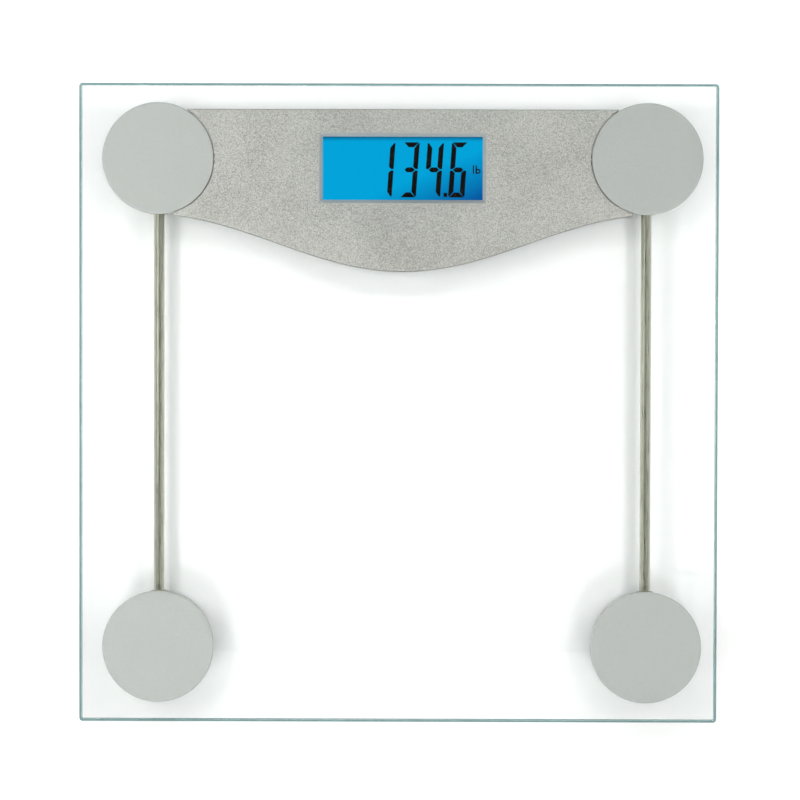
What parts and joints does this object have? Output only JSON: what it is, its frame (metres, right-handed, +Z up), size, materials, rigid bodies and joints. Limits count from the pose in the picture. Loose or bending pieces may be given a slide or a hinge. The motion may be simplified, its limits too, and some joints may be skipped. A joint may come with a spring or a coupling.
{
  "type": "digital glass platform scale",
  "caption": "Square clear glass bathroom scale on load-cell feet, with a wavy silver display housing, blue LCD and steel wire tubes under the glass.",
  "frame": {"origin": "on the floor under the middle of the glass platform", "axes": "+Z up through the glass, +Y towards the display end, +X to the right of a person standing on it facing the display"},
  "size_m": [0.305, 0.305, 0.0263],
  "materials": {
    "clear_glass": "tempered clear float glass with a ground, green-tinted edge",
    "satin_disc": "satin silver-grey moulded disc",
    "textured_silver": "silver paint over a fine spark texture",
    "grey_plastic": "plain grey ABS",
    "stainless": "polished stainless tube",
    "rubber": "matt dark grey rubber",
    "cell_steel": "stamped spring steel",
    "lcd_blue": "LCD glass over a blue backlight",
    "backlight_white": "clear light guide with white film",
    "board_green": "glass-epoxy board, green solder mask",
    "black_resin": "black resin, plastic and elastomer",
    "battery_wrap": "dark printed sleeve over steel",
    "nickel": "nickel-plated steel",
    "lead_grey": "grey PVC sleeve over thin wires",
    "wire_red": "red PVC insulation",
    "wire_black": "black PVC insulation"
  },
  "bodies": {
    "platform": {"glass_platform": "clear_glass", "upper_shell": "textured_silver", "lower_shell": "grey_plastic", "lcd_panel": "lcd_blue", "backlight": "backlight_white", "lcd_contact_strip": "black_resin", "circuit_board": "board_green", "controller_chip": "black_resin", "unit_switch": "black_resin", "front_battery": "battery_wrap", "back_battery": "battery_wrap", "positive_contact": "nickel", "negative_contact": "nickel", "link_contact": "nickel", "left_spring": "nickel", "right_spring": "nickel", "red_wire": "wire_red", "black_wire": "wire_black", "left_tube": "stainless", "right_tube": "stainless", "shell_screw_1": "nickel", "shell_screw_2": "nickel", "shell_screw_3": "nickel", "shell_screw_4": "nickel", "shell_screw_5": "nickel", "shell_screw_6": "nickel", "board_screw_1": "nickel", "board_screw_2": "nickel", "board_screw_3": "nickel", "board_screw_4": "nickel", "toe_left_disc": "satin_disc", "toe_left_cup": "grey_plastic", "toe_left_load_cell": "cell_steel", "toe_left_lead": "lead_grey", "toe_right_disc": "satin_disc", "toe_right_cup": "grey_plastic", "toe_right_load_cell": "cell_steel", "toe_right_lead": "lead_grey", "heel_left_disc": "satin_disc", "heel_left_cup": "grey_plastic", "heel_left_load_cell": "cell_steel", "heel_left_lead": "lead_grey", "heel_right_disc": "satin_disc", "heel_right_cup": "grey_plastic", "heel_right_load_cell": "cell_steel", "heel_right_lead": "lead_grey"},
    "toe_left_floating_foot": {"toe_left_foot": "grey_plastic", "toe_left_pad": "rubber"},
    "toe_right_floating_foot": {"toe_right_foot": "grey_plastic", "toe_right_pad": "rubber"},
    "heel_left_floating_foot": {"heel_left_foot": "grey_plastic", "heel_left_pad": "rubber"},
    "heel_right_floating_foot": {"heel_right_foot": "grey_plastic", "heel_right_pad": "rubber"},
    "door": {"battery_door": "grey_plastic"},
    "button": {"unit_button": "black_resin"}
  },
  "joints": [
    {"name": "toe_left_load", "type": "slide", "parent": "platform", "child": "toe_left_floating_foot", "axis": [0, 0, 1], "range_m": [0, 0.0008], "stiffness_N_per_m": 500, "springref_m": -0.012},
    {"name": "toe_right_load", "type": "slide", "parent": "platform", "child": "toe_right_floating_foot", "axis": [0, 0, 1], "range_m": [0, 0.0008], "stiffness_N_per_m": 500, "springref_m": -0.012},
    {"name": "heel_left_load", "type": "slide", "parent": "platform", "child": "heel_left_floating_foot", "axis": [0, 0, 1], "range_m": [0, 0.0008], "stiffness_N_per_m": 500, "springref_m": -0.012},
    {"name": "heel_right_load", "type": "slide", "parent": "platform", "child": "heel_right_floating_foot", "axis": [0, 0, 1], "range_m": [0, 0.0008], "stiffness_N_per_m": 500, "springref_m": -0.012},
    {"name": "battery_door_hinge", "type": "hinge", "parent": "platform", "child": "door", "pos_m": [0.0018, 0.08995, 0.006], "axis": [1, 0, 0], "range_deg": [0, 90]},
    {"name": "unit_button_push", "type": "slide", "parent": "platform", "child": "button", "axis": [0, 0, 1], "range_m": [0, 0.0008], "stiffness_N_per_m": 200}
  ]
}
